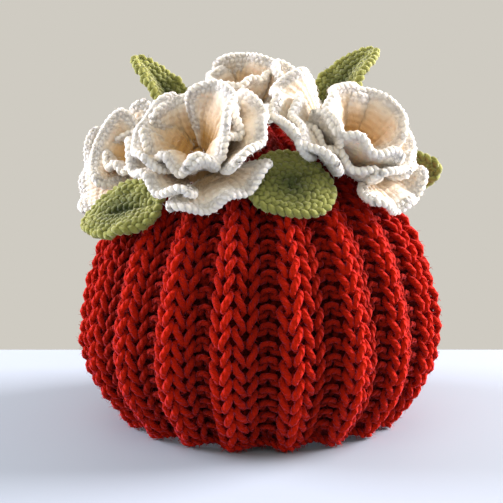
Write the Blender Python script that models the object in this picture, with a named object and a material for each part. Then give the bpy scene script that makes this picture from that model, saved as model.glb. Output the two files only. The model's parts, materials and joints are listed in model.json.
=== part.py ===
"""A tea cosy: a chunky rib-knit cover for a round teapot, trimmed with crochet flowers and leaves.

Two knitted panels, front and back, meet at a seam on each side. The seam is left open low down on the
spout side (-X) and higher up on the handle side (+X). The hem is drawn in, and the top is gathered under
four cream flowers and five green leaves, each sewn on as a piece of its own.

Tables hold millimetres and degrees. The part is in metres, stands on z = 0 and has its axis at the origin.
Angles round the cosy run from the front (-Y, 0) towards the handle side (+X, 90).
"""

import math
from collections import namedtuple

import bmesh
import bpy
import numpy as np

MM = 0.001
GAP = 0.3  # between neighbouring pieces, which touch in the real thing
CLOSE_ENOUGH = 0.001
SHARP_EDGE = 50.0  # faces that meet at a greater angle are shaded apart

# ---- The knitted panels ----

# Rings of corners from the hem to the gathered top. The radius is that of the rib crests, and rib is how
# far the valleys between the crests sink in.
Level = namedtuple("Level", "height radius rib")
LEVELS = [
    Level(0.0, 68.5, 4.2),
    Level(9.0, 76.4, 4.8),
    Level(20.0, 84.0, 5.2),
    Level(31.0, 88.4, 5.4),
    Level(44.0, 90.0, 5.4),
    Level(60.0, 88.2, 5.4),
    Level(77.0, 83.8, 5.4),
    Level(91.0, 78.0, 5.2),
    Level(104.0, 69.5, 5.0),
    Level(119.0, 57.0, 4.8),
    Level(135.0, 38.0, 4.2),
    Level(148.0, 9.0, 3.0),
]
KNIT_THICKNESS = 5.0
CREST_EXTRA = 0.3  # how much thicker the knit is at a crest, as a share of the rib
INNER_WAVE = 0.25  # how far the inner face sinks under a valley, as a share of the rib
HEM_LIFT = 1.7  # the hem arches up between the ribs

# Where the crest of each rib stands round its own panel, as unevenly as hand knitting pulls in.
FRONT_CRESTS = [-82.5, -65.5, -47.5, -30.0, -12.5, 8.5, 28.0, 45.0, 62.5, 81.0]
BACK_CRESTS = [-81.5, -63.5, -44.5, -27.5, -9.0, 9.5, 27.5, 45.5, 63.0, 81.0]

# The seams stay open where the spout and the handle come through.
Slit = namedtuple("Slit", "low high half_width")
SPOUT_SLIT = Slit(31.0, 77.0, 13.0)
HANDLE_SLIT = Slit(31.0, 104.0, 8.0)
SLIT_ROUNDNESS = 0.7  # 0.5 would make a slit a full oval, and 1 a diamond
SQUEEZED_FROM = 70.0  # the knit past this angle gives way to the slits

# ---- The flowers and leaves ----

PETAL_THICKNESS = 3.6
PETAL_ROWS, PETAL_COLUMNS = 4, 5
PETAL_BASE = 0.3  # the width at the heart, as a share of the petal's width
PETAL_WIDEST = 0.74  # how far along it the petal reaches its full width
TIP_ROUNDING = 0.34  # how far the tip's corners are drawn back
TIP_FLATNESS = 2.4  # the power of the curve that the tip follows
CURL_AT_HEART = 0.4  # a petal's sides curl in less there than at the tip
RUFFLE_WAVES = 2.5  # across a petal
RUFFLE_SHIFT = 1.3  # in radians
BASE_SLOPE = 0.35  # how far the outer petals start behind the heart, for each millimetre out
CORE_SIDES = 8
CORE_RINGS = [(5.0, -3.0), (7.5, 3.0)]  # radius, and how far behind the heart
LEAF_THICKNESS = 3.2
LEAF_ROWS, LEAF_COLUMNS = 7, 5
LEAF_STALK = 0.10  # the least half width, as a share of the leaf's
PETAL_CLEARANCE = 3.8  # from the knit to the middle of a petal
FACET_SLACK = 0.5  # a flat facet cuts less than this into the round knit below it
LYING = GAP + FACET_SLACK + 0.5 * LEAF_THICKNESS  # from the knit to the middle of a leaf that lies on it
STANDING = GAP + FACET_SLACK + 0.3  # the same under the edge of a leaf that stands up from the knit

# A flower's heart is its middle, and it faces the given way round and up.
Flower = namedtuple("Flower", "name x y z facing rise petals")

# around: from the flower's right, anticlockwise as it is faced. The petal starts that far from the
# flower's axis, rising towards the viewer by base_rise, and ends at tip_rise. cup is how far its sides
# curl in, half the arc across it, and ruffle is the height of the wave along its edge.
Petal = namedtuple("Petal", "around start reach width base_rise tip_rise cup ruffle")

FRONT_PETALS = [
    Petal(178, 6, 26, 46, 55, 12, 40, 1.5),
    Petal(44, 4, 33, 34, 66, 52, 50, 1.0),
    Petal(8, 10, 29, 46, 60, 15, 25, 2.0),
    Petal(336, 5, 23, 40, 75, 20, 25, 3.5),
    Petal(240, 5, 22, 44, 70, 15, 25, 4.0),
    Petal(103, 8, 24, 40, 65, 35, 35, 2.0),
    Petal(228, 13, 21, 50, 45, 25, 20, 3.0),
    Petal(304, 13, 22, 48, 27, -2, 15, 2.0),
    Petal(140, 14, 20, 36, 40, 10, 25, 2.0),
]
LEFT_PETALS = [
    Petal(188, 4, 23, 42, 62, 30, 35, 1.0),
    Petal(95, 4, 13, 28, 70, 40, 40, 1.5),
    Petal(262, 4, 17, 30, 72, 50, 40, 1.5),
    Petal(205, 12, 27, 50, 40, -4, 30, 1.5),
    Petal(150, 10, 20, 42, 45, 8, 30, 1.5),
    Petal(108, 9, 14, 34, 45, 10, 30, 1.5),
    Petal(300, 11, 14, 32, 45, 15, 25, 2.0),
]
TOP_PETALS = [
    Petal(60, 5, 26, 44, 75, 50, 45, 1.5),
    Petal(140, 5, 22, 30, 70, 40, 40, 1.5),
    Petal(300, 3, 22, 32, 85, 60, 40, 1.5),
    Petal(158, 10, 20, 32, 45, 10, 30, 2.0),
    Petal(12, 9, 27, 36, 60, 25, 35, 2.0),
    Petal(95, 10, 20, 38, 50, 15, 30, 2.0),
    Petal(335, 11, 27, 44, 20, -45, 25, 2.0),
    Petal(290, 11, 26, 44, 22, -45, 20, 2.0),
    Petal(45, 12, 20, 36, 40, 10, 25, 2.0),
]
RIGHT_PETALS = [
    Petal(140, 5, 30, 42, 75, 45, 35, 2.0),
    Petal(225, 8, 28, 46, 80, 50, 30, 2.0),
    Petal(30, 8, 29, 36, 80, 50, 40, 1.0),
    Petal(314, 12, 23, 42, 65, 35, 30, 1.5),
    Petal(75, 7, 25, 32, 75, 50, 35, 1.5),
    Petal(150, 14, 36, 54, 52, 15, 25, 2.5),
    Petal(180, 14, 31, 46, 64, 28, 25, 2.0),
    Petal(216, 13, 19, 42, 78, 42, 25, 2.0),
    Petal(294, 14, 25, 42, 30, -12, 25, 2.0),
    Petal(345, 14, 20, 36, 50, 20, 25, 2.0),
]

FLOWERS = [
    Flower("flower_front", -27.0, -46.0, 132.0, -15.0, 48.0, FRONT_PETALS),
    Flower("flower_left", -56.0, -9.0, 127.0, -45.0, 30.0, LEFT_PETALS),
    Flower("flower_top", -8.0, 20.0, 151.0, -5.0, 62.0, TOP_PETALS),
    Flower("flower_right", 41.0, -28.0, 132.0, 30.0, 48.0, RIGHT_PETALS),
]

# A leaf grows from its base towards heading, climbing by climb. roll turns it on its midrib, fold is
# how far each half is bent up from flat, droop curls the tip down, flare turns its edge out and seat is
# the least distance from its middle to the knit.
Leaf = namedtuple("Leaf", "name x y z heading climb roll length width fold droop flare seat")
LEAVES = [
    Leaf("leaf_front", 27.0, -46.5, 120.5, -62.0, -17.0, 50.0, 34.0, 35.0, -12.0, 10.0, 3.0, LYING),
    Leaf("leaf_left", -44.0, -50.0, 108.0, -118.0, -9.0, 45.0, 44.0, 32.0, 20.0, 5.0, 2.0, LYING),
    Leaf("leaf_upper_left", -39.0, 19.0, 134.0, -90.0, 74.0, 35.0, 49.0, 26.0, 25.0, 34.0, 0.0, STANDING),
    Leaf("leaf_upper_right", 32.0, 24.0, 135.5, 85.0, 78.0, -45.0, 54.0, 30.0, 25.0, 50.0, 0.0, STANDING),
    Leaf("leaf_right", 48.5, 13.5, 114.5, 78.0, 12.0, 75.0, 41.0, 26.0, 12.0, 5.0, 2.0, STANDING),
]


# ---- The shape of the knit ----


def outward_normals():
    """The unit normal of the crest profile at each level, as (radial, vertical). The hem's is level, so
    that its underside is flat."""
    line = np.array([(level.radius, level.height) for level in LEVELS])
    along = np.gradient(line, axis=0)
    normals = np.stack([along[:, 1], -along[:, 0]], axis=1)
    normals /= np.linalg.norm(normals, axis=1)[:, None]
    normals[0] = (1.0, 0.0)
    return normals


def seam_angle(slit, height, radius):
    """Where a panel ends at a height: just short of the seam, or short of the pointed oval that the
    open slit makes in it."""
    along = (2.0 * height - slit.low - slit.high) / (slit.high - slit.low)
    half = 0.5 * GAP + slit.half_width * max(0.0, 1.0 - along * along) ** SLIT_ROUNDNESS
    return 90.0 - math.degrees(math.asin(half / radius))


def rib_columns(crests):
    """(angle, sink) of each column of corners across a panel, where sink is 0 at a crest and 1 in a
    valley. The panel's two edges are valleys."""
    valleys = [-90.0] + [0.5 * (a + b) for a, b in zip(crests, crests[1:])] + [90.0]
    columns = [(valleys[0], 1.0)]
    for left, crest, right in zip(valleys, crests, valleys[1:]):
        columns += [
            (0.5 * (left + crest), 0.5),
            (crest, 0.0),
            (0.5 * (crest + right), 0.5),
            (right, 1.0),
        ]
    return columns


def knit_point(level, normal, angle, sink, inner, slits):
    """One corner of a panel's outer or inner face, as if it were the front panel, in millimetres."""
    depth = sink * level.rib
    if inner:
        depth = KNIT_THICKNESS + (CREST_EXTRA + INNER_WAVE * sink) * level.rib
    radius = level.radius - depth * normal[0]
    height = level.height - depth * normal[1]
    if level.height == 0.0:
        height = HEM_LIFT if sink == 1.0 else 0.0
    # The outermost rib is squeezed to end at the seam or beside its slit.
    slit = slits[1] if angle > 0 else slits[0]
    beyond = max(0.0, abs(angle) - SQUEEZED_FROM) / (90.0 - SQUEEZED_FROM)
    room = seam_angle(slit, level.height, radius) - SQUEEZED_FROM
    turn = math.radians(math.copysign(min(abs(angle), SQUEEZED_FROM) + beyond * room, angle))
    return radius * math.sin(turn), -radius * math.cos(turn), height


def knit_panel(name, crests, slits, back, material):
    """One panel as a closed solid: an outer and an inner face, joined round the edge. The back panel is
    made as a front one and turned half round, so that the slits come in the order left, right there."""
    columns = rib_columns(crests)
    normals = outward_normals()
    mesh = bmesh.new()
    side = -1.0 if back else 1.0
    faces = {}
    for inner in (False, True):
        faces[inner] = [
            [
                mesh.verts.new((side * x * MM, side * y * MM, z * MM))
                for x, y, z in (
                    knit_point(level, normal, angle, sink, inner, slits) for angle, sink in columns
                )
            ]
            for level, normal in zip(LEVELS, normals)
        ]
    close_between(mesh, faces[False], faces[True])
    return finished(name, mesh, material)


# ---- Sheets given as grids of corners ----


def close_between(mesh, front, back):
    """Fills two grids of vertices and the rim between them, so that they bound one solid."""
    rows, columns = len(front), len(front[0])
    for i in range(rows - 1):
        for j in range(columns - 1):
            mesh.faces.new((front[i][j], front[i][j + 1], front[i + 1][j + 1], front[i + 1][j]))
            mesh.faces.new((back[i][j], back[i + 1][j], back[i + 1][j + 1], back[i][j + 1]))
    rim = [(0, j) for j in range(columns)]
    rim += [(i, columns - 1) for i in range(1, rows)]
    rim += [(rows - 1, j) for j in range(columns - 2, -1, -1)]
    rim += [(i, 0) for i in range(rows - 2, 0, -1)]
    for (i, j), (k, m) in zip(rim, rim[1:] + rim[:1]):
        mesh.faces.new((front[k][m], front[i][j], back[i][j], back[k][m]))


def finished(name, mesh, material):
    """The object of a bmesh, with its faces turned outwards and shaded smooth."""
    bmesh.ops.recalc_face_normals(mesh, faces=mesh.faces)
    bmesh.ops.triangulate(mesh, faces=mesh.faces)
    data = bpy.data.meshes.new(name)
    mesh.to_mesh(data)
    mesh.free()
    data.shade_smooth()
    data.set_sharp_from_angle(angle=math.radians(SHARP_EDGE))
    data.materials.append(material)
    made = bpy.data.objects.new(name, data)
    bpy.context.scene.collection.objects.link(made)
    return made


def thick_sheet(name, grid, thickness, material):
    """A solid of even thickness about a grid of points, in millimetres, as an array of rows."""
    across = np.gradient(grid, axis=1)
    along = np.gradient(grid, axis=0)
    normals = np.cross(across, along)
    normals /= np.linalg.norm(normals, axis=2)[:, :, None]
    mesh = bmesh.new()
    front, back = (
        [[mesh.verts.new(point * MM) for point in row] for row in grid + side * 0.5 * thickness * normals]
        for side in (1.0, -1.0)
    )
    close_between(mesh, front, back)
    return finished(name, mesh, material)


def above_knit(point):
    """How far a point is outside the surface through the ribs' crests, and the nearest point on that
    surface and its outward normal, both as (radial, vertical)."""
    line = np.array([(level.radius, level.height) for level in LEVELS] + [(0.0, LEVELS[-1].height)])
    start, step = line[:-1], np.diff(line, axis=0)
    here = np.array([math.hypot(point[0], point[1]), point[2]])
    share = np.clip(((here - start) * step).sum(1) / (step * step).sum(1), 0.0, 1.0)
    near = start + share[:, None] * step
    i = int(np.linalg.norm(here - near, axis=1).argmin())
    normal = np.array([step[i, 1], -step[i, 0]]) / np.linalg.norm(step[i])
    return (here - near[i]) @ normal, near[i], normal


def clear_of_knit(points, clearance):
    """The points, with each that comes too near the ribs' crests moved straight out to the clearance."""
    moved = np.array(points, float)
    for point in moved.reshape(-1, 3):
        away, near, normal = above_knit(point)
        if away < clearance:
            there = near + clearance * normal
            point[:2] *= there[0] / max(math.hypot(point[0], point[1]), CLOSE_ENOUGH)
            point[2] = there[1]
    return moved


def down_to_knit(point, back, clearance):
    """Where a line from the point, going back, comes within the clearance of the ribs' crests."""
    near, far = 0.0, LEVELS[0].radius
    while far - near > CLOSE_ENOUGH:
        middle = 0.5 * (near + far)
        if above_knit(point + middle * back)[0] > clearance:
            near = middle
        else:
            far = middle
    return point + near * back


# ---- Flowers ----


def direction(facing, rise):
    """The unit vector that faces an angle round the cosy and rises above the level."""
    turn, up = math.radians(facing), math.radians(rise)
    return np.array([math.cos(up) * math.sin(turn), -math.cos(up) * math.cos(turn), math.sin(up)])


def flower_frame(flower):
    """Where the flower's heart is, and its right, its up and its facing directions."""
    ahead = direction(flower.facing, flower.rise)
    right = direction(flower.facing + 90.0, 0.0)
    return np.array([flower.x, flower.y, flower.z]), right, np.cross(ahead, right), ahead


def petal_grid(flower, petal):
    """Points on the middle of a petal, row by row from the heart to its rounded tip."""
    heart, right, up, ahead = flower_frame(flower)
    around = math.radians(petal.around)
    out = math.cos(around) * right + math.sin(around) * up
    aside = np.cross(ahead, out)
    grid = np.zeros((PETAL_ROWS, PETAL_COLUMNS, 3))
    for i, u in enumerate(np.linspace(0.0, 1.0, PETAL_ROWS)):
        for j, v in enumerate(np.linspace(-1.0, 1.0, PETAL_COLUMNS)):
            # The tip's corners are drawn back, so that the end of the petal is round.
            reach = u * (1.0 - TIP_ROUNDING * abs(v) ** TIP_FLATNESS * u)
            # The petal's middle is an arc, so the point lies at the end of a chord of it.
            bend = math.radians(petal.tip_rise - petal.base_rise) * reach
            chord = petal.reach * reach * np.sinc(0.5 * bend / math.pi)
            rise = math.radians(petal.base_rise) + 0.5 * bend
            run = chord * math.cos(rise) + petal.start
            climb = chord * math.sin(rise) - BASE_SLOPE * petal.start
            widening = math.sin(0.5 * math.pi * min(1.0, u / PETAL_WIDEST))
            half = 0.5 * petal.width * (PETAL_BASE + (1.0 - PETAL_BASE) * widening)
            curl = math.radians(petal.cup) * (CURL_AT_HEART + (1.0 - CURL_AT_HEART) * u)
            inward = half / curl * (1.0 - math.cos(curl * v))
            inward += petal.ruffle * u * u * math.sin(RUFFLE_WAVES * math.pi * v + RUFFLE_SHIFT)
            tip = rise + 0.5 * bend
            facing_in = -math.sin(tip) * out + math.cos(tip) * ahead
            grid[i, j] = heart + run * out + climb * ahead
            grid[i, j] += half / curl * math.sin(curl * v) * aside + inward * facing_in
    return grid


def flower_core(flower, material):
    """The closed base behind the petals, reaching back to the knit that it is sewn to."""
    heart, right, up, ahead = flower_frame(flower)
    mesh = bmesh.new()
    turns = np.linspace(0.0, 2.0 * math.pi, CORE_SIDES, endpoint=False)
    spokes = [math.cos(turn) * right + math.sin(turn) * up for turn in turns]
    rings = [[heart + radius * spoke - back * ahead for spoke in spokes] for radius, back in CORE_RINGS]
    rings.append([down_to_knit(point, -ahead, GAP + FACET_SLACK) for point in rings[-1]])
    rows = [[mesh.verts.new(point * MM) for point in ring] for ring in rings]
    for low, high in zip(rows, rows[1:]):
        for i in range(CORE_SIDES):
            k = (i + 1) % CORE_SIDES
            mesh.faces.new((low[i], low[k], high[k], high[i]))
    mesh.faces.new(rows[0])
    mesh.faces.new(rows[-1])
    return finished(flower.name, mesh, material)


def crochet_flower(flower, material):
    """The petals and their base, united into one solid."""
    made = flower_core(flower, material)
    petals = []
    for i, petal in enumerate(flower.petals):
        grid = clear_of_knit(petal_grid(flower, petal), PETAL_CLEARANCE)
        petals.append(thick_sheet(f"petal_{i}", grid, PETAL_THICKNESS, material))
    return united(made, petals)


def united(made, others):
    """The object joined with the others by Boolean unions, which are then applied."""
    for other in others:
        union = made.modifiers.new(other.name, "BOOLEAN")
        union.operation = "UNION"
        union.object = other
    bpy.context.view_layer.update()
    graph = bpy.context.evaluated_depsgraph_get()
    whole = bpy.data.meshes.new_from_object(made.evaluated_get(graph))
    made.modifiers.clear()
    made.data = whole
    for other in others:
        bpy.data.objects.remove(other)
    return made


# ---- Leaves ----


def leaf_outline(u):
    """The leaf's width at a share u of its length, as a share of the greatest, which it has a little
    nearer to the base than to the tip."""
    past_base = 0.06 + 0.90 * u
    return LEAF_STALK + (1.0 - LEAF_STALK) * math.sin(math.pi * past_base**0.8) ** 0.75


def leaf_grid(leaf):
    """Points on the middle of a leaf, row by row from its base to its tip."""
    along = direction(leaf.heading, leaf.climb)
    level = direction(leaf.heading + 90.0, 0.0)
    roll = math.radians(leaf.roll)
    aside = math.cos(roll) * level + math.sin(roll) * np.cross(level, along)
    face = np.cross(along, aside)
    if face[2] < 0:
        face = -face
    bend = math.radians(leaf.fold)
    grid = np.zeros((LEAF_ROWS, LEAF_COLUMNS, 3))
    for i, u in enumerate(np.linspace(0.0, 1.0, LEAF_ROWS)):
        half = 0.5 * leaf.width * leaf_outline(u)
        drop = math.radians(leaf.droop) * u
        run, fall = leaf.length * u * math.cos(0.5 * drop), leaf.length * u * math.sin(0.5 * drop)
        for j, v in enumerate(np.linspace(-1.0, 1.0, LEAF_COLUMNS)):
            lift = half * abs(v) * math.sin(bend) - leaf.flare * v * v
            grid[i, j] = np.array([leaf.x, leaf.y, leaf.z]) + run * along - fall * face
            grid[i, j] += half * v * math.cos(bend) * aside + lift * face
    return grid


def crochet_leaf(leaf, material):
    grid = clear_of_knit(leaf_grid(leaf), leaf.seat)
    return thick_sheet(leaf.name, grid, LEAF_THICKNESS, material)


# ---- The whole ----


def yarn_material(name, red, green, blue):
    """Matt wool or cotton in one colour."""
    material = bpy.data.materials.new(name)
    material.use_nodes = True
    shader = material.node_tree.nodes["Principled BSDF"]
    shader.inputs["Base Color"].default_value = (red, green, blue, 1.0)
    shader.inputs["Roughness"].default_value = 0.9
    shader.inputs["Metallic"].default_value = 0.0
    return material


def main():
    for old in list(bpy.data.objects):
        bpy.data.objects.remove(old)
    red = yarn_material("red_wool", 0.42, 0.012, 0.008)
    cream = yarn_material("cream_yarn", 0.83, 0.76, 0.62)
    green = yarn_material("green_yarn", 0.20, 0.27, 0.05)
    knit_panel("panel_front", FRONT_CRESTS, (SPOUT_SLIT, HANDLE_SLIT), False, red)
    knit_panel("panel_back", BACK_CRESTS, (HANDLE_SLIT, SPOUT_SLIT), True, red)
    for flower in FLOWERS:
        crochet_flower(flower, cream)
    for leaf in LEAVES:
        crochet_leaf(leaf, green)


main()
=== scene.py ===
"""A tea cosy: a chunky red rib-knit cover for a round teapot, trimmed with cream crochet flowers and
green crochet leaves.

Each knitted panel is a thin sheet of cloth with the yarn of its stitches on it, loop by loop. The flowers
and leaves are crocheted sheets with braided edges, and loose fibres stand up from all of them.

Tables hold millimetres and degrees, and the scene is in metres. The front is -Y, the spout side is -X and
the handle side is +X. Angles round the cosy run from the front (0) towards the handle side (90).
"""

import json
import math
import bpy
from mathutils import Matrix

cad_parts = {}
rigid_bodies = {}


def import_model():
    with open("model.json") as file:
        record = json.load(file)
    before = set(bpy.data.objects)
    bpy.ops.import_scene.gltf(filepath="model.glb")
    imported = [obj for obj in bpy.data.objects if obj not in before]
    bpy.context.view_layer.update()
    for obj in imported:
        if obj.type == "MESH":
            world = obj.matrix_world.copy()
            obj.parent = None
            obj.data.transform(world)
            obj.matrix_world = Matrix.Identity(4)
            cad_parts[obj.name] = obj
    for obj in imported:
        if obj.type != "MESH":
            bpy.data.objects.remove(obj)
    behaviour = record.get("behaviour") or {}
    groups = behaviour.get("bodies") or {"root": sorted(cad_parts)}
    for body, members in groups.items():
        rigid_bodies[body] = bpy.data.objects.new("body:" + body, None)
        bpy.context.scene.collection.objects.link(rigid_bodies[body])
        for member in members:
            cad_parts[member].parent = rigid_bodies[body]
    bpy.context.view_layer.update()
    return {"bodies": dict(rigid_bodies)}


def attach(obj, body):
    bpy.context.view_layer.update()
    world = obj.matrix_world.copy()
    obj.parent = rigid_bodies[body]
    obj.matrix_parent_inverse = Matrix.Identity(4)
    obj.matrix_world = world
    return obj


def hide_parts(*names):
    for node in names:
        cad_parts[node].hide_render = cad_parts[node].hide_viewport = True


bl_info = {
    "name": "Knitted tea cosy",
    "version": (1, 0, 0),
    "blender": (4, 5, 0),
    "location": "3D View > Sidebar > Tea cosy",
    "description": "Makes a rib-knit tea cosy with crochet flowers and leaves",
    "category": "Add Mesh",
}

from collections import namedtuple

import bpy
import numpy as np
from mathutils import Vector

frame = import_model()
(BODY,) = frame["bodies"]  # nothing on the cosy moves, so it has only one

MM = 0.001

# ---- The knitted panels ----

# Rings from the hem to the gathered top. The radius is that of the rib crests, and rib is how far the
# valleys between the crests sink in.
Level = namedtuple("Level", "height radius rib")
LEVELS = [
    Level(0.0, 68.5, 4.2),
    Level(9.0, 76.4, 4.8),
    Level(20.0, 84.0, 5.2),
    Level(31.0, 88.4, 5.4),
    Level(44.0, 90.0, 5.4),
    Level(60.0, 88.2, 5.4),
    Level(77.0, 83.8, 5.4),
    Level(91.0, 78.0, 5.2),
    Level(104.0, 69.5, 5.0),
    Level(119.0, 57.0, 4.8),
    Level(135.0, 38.0, 4.2),
    Level(148.0, 9.0, 3.0),
]
HEM_LIFT = 1.7  # the hem arches up between the ribs

# Where the crest of each rib stands round its own panel.
FRONT_CRESTS = [-82.5, -65.5, -47.5, -30.0, -12.5, 8.5, 28.0, 45.0, 62.5, 81.0]
BACK_CRESTS = [-81.5, -63.5, -44.5, -27.5, -9.0, 9.5, 27.5, 45.5, 63.0, 81.0]

# The seams stay open where the spout and the handle come through.
Slit = namedtuple("Slit", "low high half_width")
SPOUT_SLIT = Slit(31.0, 77.0, 13.0)
HANDLE_SLIT = Slit(31.0, 104.0, 8.0)
SLIT_ROUNDNESS = 0.7  # 0.5 would make a slit a full oval, and 1 a diamond
SEAM_GAP = 0.3  # between the two panels
SQUEEZED_FROM = 70.0  # the knit past this angle gives way to the slits

# slits are those at -90 and at 90 round the panel, and side is -1 for the panel that faces the back.
Panel = namedtuple("Panel", "name crests slits side seed")
PANELS = [
    Panel("panel_front", FRONT_CRESTS, (SPOUT_SLIT, HANDLE_SLIT), 1.0, 11),
    Panel("panel_back", BACK_CRESTS, (HANDLE_SLIT, SPOUT_SLIT), -1.0, 23),
]

# ---- The flowers and leaves ----

PETAL_BASE = 0.3  # its width at the heart, as a share
PETAL_WIDEST = 0.74  # how far along it is widest
TIP_ROUNDING = 0.34  # how far the tip's corners are drawn back
TIP_FLATNESS = 2.4  # the power of its curve
CURL_AT_HEART = 0.4  # how much of its cup a petal has there
RUFFLE_WAVES = 2.5  # across a petal
RUFFLE_SHIFT = 1.3
BASE_SLOPE = 0.35  # how far the outer petals start behind the heart, for each millimetre out
# The rings of a flower's base: radius, and how far behind the heart.
BASE_RINGS = [(5.5, 1.5), (13.0, 4.4), (12.5, 6.2), (7.5, 9.5)]
PETAL_CLEARANCE = 3.8  # from the ribs' crests to the middle of a petal
LEAF_STALK = 0.10  # the least half width, as a share
LYING = 2.4  # from the crests to the middle of a leaf that lies on them
STANDING = 1.1  # the same for a leaf that stands up

# A flower's heart is its middle, and it faces the given way round and up.
Flower = namedtuple("Flower", "name x y z facing rise petals")

# around: from the flower's right, anticlockwise as it is faced. The petal starts that far from the
# flower's axis, rising by base_rise, and ends at tip_rise. cup is half the arc across it, and ruffle is
# the height of the wave along its edge.
Petal = namedtuple("Petal", "around start reach width base_rise tip_rise cup ruffle")

FRONT_PETALS = [
    Petal(178, 6, 26, 46, 55, 12, 40, 1.5),
    Petal(44, 4, 33, 34, 66, 52, 50, 1.0),
    Petal(8, 10, 29, 46, 60, 15, 25, 2.0),
    Petal(336, 5, 23, 40, 75, 20, 25, 3.5),
    Petal(240, 5, 22, 44, 70, 15, 25, 4.0),
    Petal(103, 8, 24, 40, 65, 35, 35, 2.0),
    Petal(228, 13, 21, 50, 45, 25, 20, 3.0),
    Petal(304, 13, 22, 48, 27, -2, 15, 2.0),
    Petal(140, 14, 20, 36, 40, 10, 25, 2.0),
]
LEFT_PETALS = [
    Petal(188, 4, 23, 42, 62, 30, 35, 1.0),
    Petal(95, 4, 13, 28, 70, 40, 40, 1.5),
    Petal(262, 4, 17, 30, 72, 50, 40, 1.5),
    Petal(205, 12, 27, 50, 40, -4, 30, 1.5),
    Petal(150, 10, 20, 42, 45, 8, 30, 1.5),
    Petal(108, 9, 14, 34, 45, 10, 30, 1.5),
    Petal(300, 11, 14, 32, 45, 15, 25, 2.0),
]
TOP_PETALS = [
    Petal(60, 5, 26, 44, 75, 50, 45, 1.5),
    Petal(140, 5, 22, 30, 70, 40, 40, 1.5),
    Petal(300, 3, 22, 32, 85, 60, 40, 1.5),
    Petal(158, 10, 20, 32, 45, 10, 30, 2.0),
    Petal(12, 9, 27, 36, 60, 25, 35, 2.0),
    Petal(95, 10, 20, 38, 50, 15, 30, 2.0),
    Petal(335, 11, 27, 44, 20, -45, 25, 2.0),
    Petal(290, 11, 26, 44, 22, -45, 20, 2.0),
    Petal(45, 12, 20, 36, 40, 10, 25, 2.0),
]
RIGHT_PETALS = [
    Petal(140, 5, 30, 42, 75, 45, 35, 2.0),
    Petal(225, 8, 28, 46, 80, 50, 30, 2.0),
    Petal(30, 8, 29, 36, 80, 50, 40, 1.0),
    Petal(314, 12, 23, 42, 65, 35, 30, 1.5),
    Petal(75, 7, 25, 32, 75, 50, 35, 1.5),
    Petal(150, 14, 36, 54, 52, 15, 25, 2.5),
    Petal(180, 14, 31, 46, 64, 28, 25, 2.0),
    Petal(216, 13, 19, 42, 78, 42, 25, 2.0),
    Petal(294, 14, 25, 42, 30, -12, 25, 2.0),
    Petal(345, 14, 20, 36, 50, 20, 25, 2.0),
]
FLOWERS = [
    Flower("flower_front", -27.0, -46.0, 132.0, -15.0, 48.0, FRONT_PETALS),
    Flower("flower_left", -56.0, -9.0, 127.0, -45.0, 30.0, LEFT_PETALS),
    Flower("flower_top", -8.0, 20.0, 151.0, -5.0, 62.0, TOP_PETALS),
    Flower("flower_right", 41.0, -28.0, 132.0, 30.0, 48.0, RIGHT_PETALS),
]

# A leaf grows from its base towards heading, climbing by climb. roll turns it on its midrib, fold is
# how far each half is bent up from flat, droop curls the tip down, flare turns its edge out and seat is
# the least distance from its middle to the knit.
Leaf = namedtuple("Leaf", "name x y z heading climb roll length width fold droop flare seat")
LEAVES = [
    Leaf("leaf_front", 27.0, -46.5, 120.5, -62.0, -17.0, 50.0, 34.0, 35.0, -12.0, 10.0, 3.0, LYING),
    Leaf("leaf_left", -44.0, -50.0, 108.0, -118.0, -9.0, 45.0, 44.0, 32.0, 20.0, 5.0, 2.0, LYING),
    Leaf("leaf_upper_left", -39.0, 19.0, 134.0, -90.0, 74.0, 35.0, 49.0, 26.0, 25.0, 34.0, 0.0, STANDING),
    Leaf("leaf_upper_right", 32.0, 24.0, 135.5, 85.0, 78.0, -45.0, 54.0, 30.0, 25.0, 50.0, 0.0, STANDING),
    Leaf("leaf_right", 48.5, 13.5, 114.5, 78.0, 12.0, 75.0, 41.0, 26.0, 12.0, 5.0, 2.0, STANDING),
]


# ---- Settings that a user would change ----


class CosyKnitSettings(bpy.types.PropertyGroup):
    """The knitted panels."""

    yarn: bpy.props.FloatProperty(
        name="Yarn", description="Diameter of the yarn", default=3.0 * MM, unit="LENGTH"
    )
    rise: bpy.props.FloatProperty(
        name="Stitch rise", description="Height of one row of stitches", default=7.9 * MM, unit="LENGTH"
    )
    fibre: bpy.props.FloatProperty(
        name="Fuzz", description="Length of the loose fibres", default=3.0 * MM, unit="LENGTH"
    )
    colour: bpy.props.StringProperty(
        name="Wool", description="Colour of the wool, as sRGB hex", default="#d92505"
    )
    shade: bpy.props.StringProperty(
        name="Shaded wool", description="Colour of the darker fibres", default="#9c1202"
    )
    # Painted shade: the colour that the knit turns to below the ribs' crests and in the flowers' painted
    # shadow, the cloth behind the stitches most.
    painted_shade_colour: bpy.props.StringProperty(
        name="Deep wool", description="Colour of the wool behind the stitches", default="#440500"
    )


class CosyFlowerSettings(bpy.types.PropertyGroup):
    """The crochet flowers."""

    half_thickness: bpy.props.FloatProperty(
        name="Petal", description="Half the thickness of a petal", default=1.4 * MM, unit="LENGTH"
    )
    strand: bpy.props.FloatProperty(
        name="Rim yarn", description="Radius of a strand in a petal's edge", default=1.4 * MM, unit="LENGTH"
    )
    fibre: bpy.props.FloatProperty(
        name="Fuzz", description="Length of the loose fibres", default=2.4 * MM, unit="LENGTH"
    )
    colour: bpy.props.StringProperty(
        name="Cotton", description="Colour of the yarn, as sRGB hex", default="#f0ebe2"
    )
    # The darker blotches, mixed in at random, not by where the stitches lie.
    shade: bpy.props.StringProperty(
        name="Shaded cotton", description="Colour between the stitches", default="#ebe2cf"
    )
    # Painted shade and painted warm reflected light: the tan that a flower's heart and its petals' inner
    # faces turn to.
    painted_shade_colour: bpy.props.StringProperty(
        name="Deep cotton", description="Colour in a flower's heart", default="#bb9153"
    )


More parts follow.
